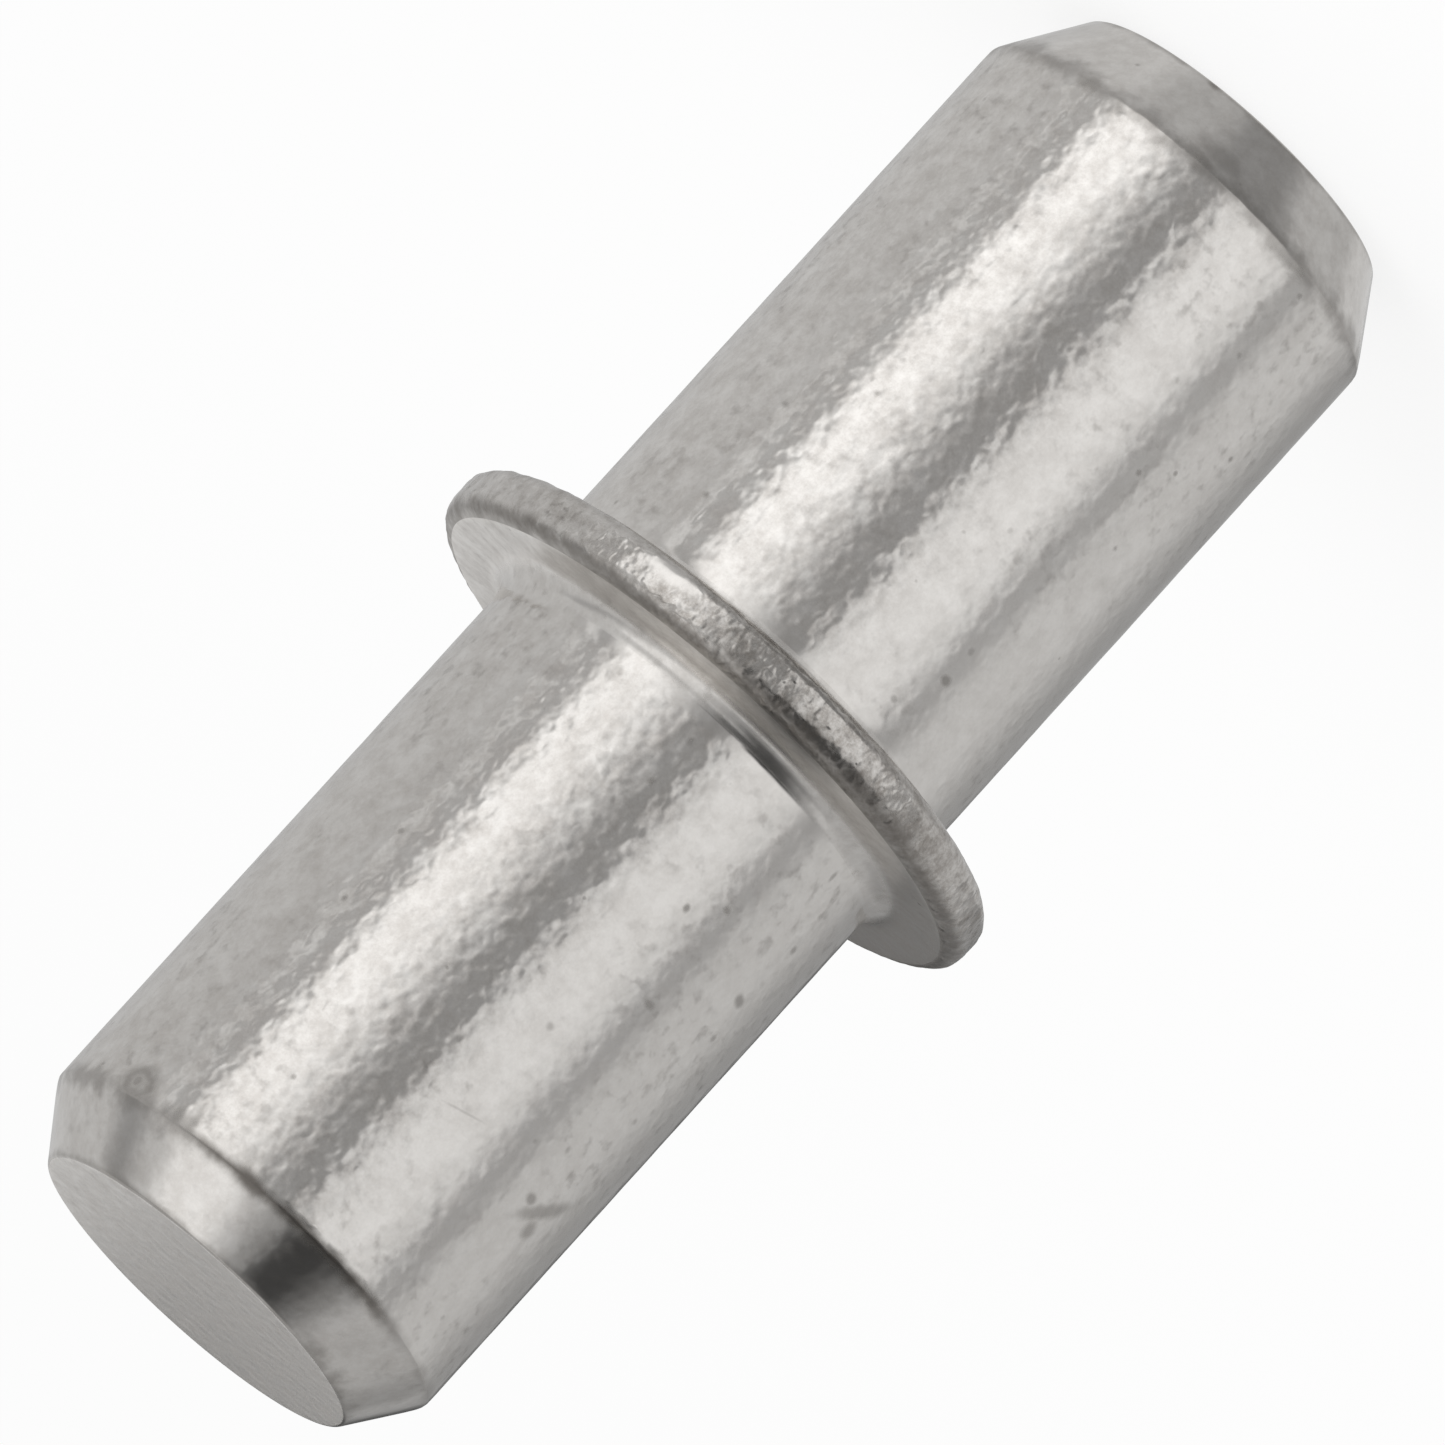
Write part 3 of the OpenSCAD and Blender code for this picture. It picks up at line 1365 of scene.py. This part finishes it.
@dataclass(frozen=True)
class Studio:
    """The floor, the white surroundings, the lamps and the cards.

    Attributes:
        softboxes: The lamps.
        cards: The cards.
        ambient: Level of the surroundings' light on matt surfaces.
        floor_size: Side of the floor.
        floor_tone: Colour of the floor.
        floor_roughness: Roughness of the floor.
        floor_glow: Share of plain white in the floor as the camera sees it.
    """

    softboxes: tuple[Softbox, ...]
    cards: tuple[Card | BackCard, ...]
    ambient: float = 0.8
    floor_size: float = 2.0
    floor_tone: Colour = (0.92, 0.92, 0.92)
    floor_roughness: float = 0.9
    floor_glow: float = 0.8

    def build(self) -> None:
        """Sets up everything round the pin."""
        self._surroundings()
        self._floor()
        for softbox in self.softboxes:
            softbox.build()
            LOG.info("lamp %s", softbox.name)
        for card in self.cards:
            card.build()
            LOG.info("card %s", card.name)

    def _surroundings(self) -> None:
        """Makes the white world, at full strength for the camera and for reflections."""
        world = bpy.data.worlds.new("white_surroundings")
        bpy.context.scene.world = world
        world.use_nodes = True
        world.cycles.sampling_method = "NONE"
        wiring = Wiring(world.node_tree)
        path = wiring.add("ShaderNodeLightPath").outputs
        seen = wiring.math("ADD", path["Is Camera Ray"], path["Is Glossy Ray"])
        seen = wiring.math("ADD", seen, path["Is Transmission Ray"], clamp=True)
        background = world.node_tree.nodes["Background"]
        background.inputs["Color"].default_value = WHITE
        level = wiring.blend(seen, self.ambient, 1.0, kind="FLOAT")
        wiring.feed(background.inputs["Strength"], level)

    def _floor(self) -> None:
        """Lays the pale floor under the pin, which takes its shadow and stays out of its reflections."""
        bpy.ops.object.select_all(action="DESELECT")
        bpy.ops.mesh.primitive_plane_add(size=self.floor_size, location=(0, 0, CAD_BOX[0].z))
        floor = bpy.context.object
        floor.name = floor.data.name = "floor"
        material = bpy.data.materials.new("pale_floor")
        material.use_nodes = True
        wiring = Wiring(material.node_tree)
        shader = material.node_tree.nodes["Principled BSDF"]
        shader.inputs["Base Color"].default_value = (*self.floor_tone, 1.0)
        shader.inputs["Roughness"].default_value = self.floor_roughness
        shader.inputs["Specular IOR Level"].default_value = 0.0
        glow = wiring.add("ShaderNodeEmission")
        mixed = wiring.add("ShaderNodeMixShader")
        path = wiring.add("ShaderNodeLightPath").outputs
        wiring.feed(mixed.inputs[0], wiring.math("MULTIPLY", path["Is Camera Ray"], self.floor_glow))
        wiring.feed(mixed.inputs[1], shader.outputs["BSDF"])
        wiring.feed(mixed.inputs[2], glow.outputs["Emission"])
        wiring.feed(material.node_tree.nodes["Material Output"].inputs["Surface"], mixed.outputs["Shader"])
        material.cycles.emission_sampling = "NONE"
        floor.data.materials.append(material)
        floor.visible_glossy = False
        floor.visible_shadow = False


@dataclass(frozen=True)
class PhotoCamera:
    """A distant camera at the photograph's viewing angle.

    Attributes:
        middle: The middle of the collar.
        image: Side of the photograph, in pixels.
        centre: Where the middle of the collar lies in it, in pixels from the top left.
        width: What the frame spans at the pin.
        tilt: Degrees by which the camera looks down on the standing pin.
        lean: Degrees between the photograph's horizontal and the pin's lower end.
        lens: Focal length in millimetres, long as in the flat view of the photograph.
        sensor: Width of the sensor in millimetres.
        clip: Nearest and farthest distance that it sees.
    """

    middle: Vector
    image: float = 1445.0
    centre: Band = (714.5, 720.2)
    width: float = 14.69 * MM
    tilt: float = 12.4
    lean: float = 47.8
    lens: float = 1000.0
    sensor: float = 36.0
    clip: Band = (10 * MM, 10.0)

    def build(self) -> bpy.types.Object:
        """Sets up the camera and makes it the scene's own.

        Returns:
            The camera.
        """
        tilt, lean = math.radians(self.tilt), math.radians(self.lean)
        back = Vector((0, -math.cos(tilt), math.sin(tilt)))
        level = Vector((1, 0, 0))
        rise = back.cross(level)
        right = -math.sin(lean) * level - math.cos(lean) * rise
        up = math.cos(lean) * level - math.sin(lean) * rise
        pixel = self.width / self.image
        off_x = (self.centre[0] - self.image / 2) * pixel
        off_y = (self.image / 2 - self.centre[1]) * pixel
        distance = self.width * self.lens / self.sensor
        place = self.middle - off_x * right - off_y * up + distance * back
        bpy.ops.object.camera_add()
        camera = bpy.context.object
        camera.name = camera.data.name = "photo_camera"
        axes = Matrix((right, up, back)).transposed()
        camera.matrix_world = Matrix.Translation(place) @ axes.to_4x4()
        camera.data.lens = self.lens
        camera.data.sensor_width = self.sensor
        camera.data.clip_start, camera.data.clip_end = self.clip
        bpy.context.scene.camera = camera
        return camera


SOFTBOXES = (
    Softbox("key_softbox", azimuth=-35, elevation=50, width=40, height=40, radiance=1.4),
    Softbox("fill_softbox", azimuth=60, elevation=40, width=40, height=40, radiance=0.7),
)
CARDS = (
    Card("dome", azimuths=(-180, 180), elevations=(-90, 90), shade=0.69, soft=(0.1, 0.1, 0.1), away=0.27),
    Card("left_wall", azimuths=(-195, -58), elevations=(-88, 70), shade=0.65, soft=(15, 6, 8), away=0.25),
    Card("left_shade", azimuths=(-195, -135), elevations=(-40, 4), shade=0.57, soft=(15, 30, 12), away=0.24),
    Card("back_left", azimuths=(-195, -150), elevations=(4, 40), shade=0.78, soft=(8, 20, 8), away=0.245),
    Card("right_wall", azimuths=(62, 195), elevations=(-88, 70), shade=0.67, soft=(12, 15, 8), away=0.25),
    Card("right_shade", azimuths=(105, 177), elevations=(-24, 30), shade=0.36, soft=(45, 8, 8), away=0.24),
    Card("gap", azimuths=(-50, 12), elevations=(-55, 14), shade=0.34, soft=(56, 4, 6), away=0.24),
    Card("fill_panel", azimuths=(5, 72), elevations=(-55, 14), shade=0.955, soft=(22, 32, 6), away=0.23),
    Card("right_seam", azimuths=(56, 86), elevations=(-60, 14), shade=0.42, soft=(14, 16, 6), away=0.22),
    Card("left_seam", azimuths=(-94, -60), elevations=(-60, 14), shade=0.48, soft=(26, 4, 6), away=0.22),
    Card("left_glint", azimuths=(-81, -70), elevations=(-55, 14), shade=0.80, soft=(4, 4, 6), away=0.215),
    Card("key_panel", azimuths=(-63, 0), elevations=(-55, 24), shade=1.33, soft=(13, 46, 12), away=0.21),
    Card("top_key", azimuths=(-82, 12), elevations=(34, 88), shade=1.10, soft=(20, 50, 6), away=0.22),
    Card("top_dim", azimuths=(-35, 98), elevations=(36, 85), shade=0.29, soft=(60, 36, 8), away=0.205),
    Card("top_gap", azimuths=(13, 74), elevations=(-3, 65), shade=0.06, soft=(11, 32, 7), away=0.19),
    Card("edge_gap", azimuths=(-14, 40), elevations=(2, 38), shade=0.11, soft=(16, 10, 8), away=0.192),
    Card("top_seam", azimuths=(-118, -84), elevations=(24, 62), shade=0.36, soft=(16, 16, 8), away=0.20),
    Card("top_right", azimuths=(78, 180), elevations=(2, 75), shade=0.53, soft=(20, 20, 10), away=0.23),
    Card("right_high", azimuths=(118, 177), elevations=(5, 40), shade=0.35, soft=(25, 8, 8), away=0.215),
    Card("low_right", azimuths=(85, 150), elevations=(-75, -38), shade=0.54, soft=(20, 25, 8), away=0.215),
    Card("low_dim", azimuths=(-110, 60), elevations=(-89, -55), shade=0.50, soft=(35, 20, 8), away=0.205),
    Card("low_gap", azimuths=(-42, 104), elevations=(-89, -50), shade=0.30, soft=(50, 36, 8), away=0.20),
)


def main() -> None:
    """Builds the camera, the studio and the pin, and reports each piece."""
    logging.basicConfig(level=logging.INFO, format="%(name)s: %(message)s")
    bpy.context.scene.view_settings.view_transform = "Standard"
    pin = ShelfPin.from_frame()
    PhotoCamera(Vector((0, 0, (pin.lower_seat + pin.upper_seat) / 2))).build()
    Studio(SOFTBOXES, (*CARDS, BackCard())).build()
    piece = pin.build()
    mesh = piece.data
    LOG.info("piece %s: %d vertices, %d faces", piece.name, len(mesh.vertices), len(mesh.polygons))


if __name__ == "__main__":
    main()
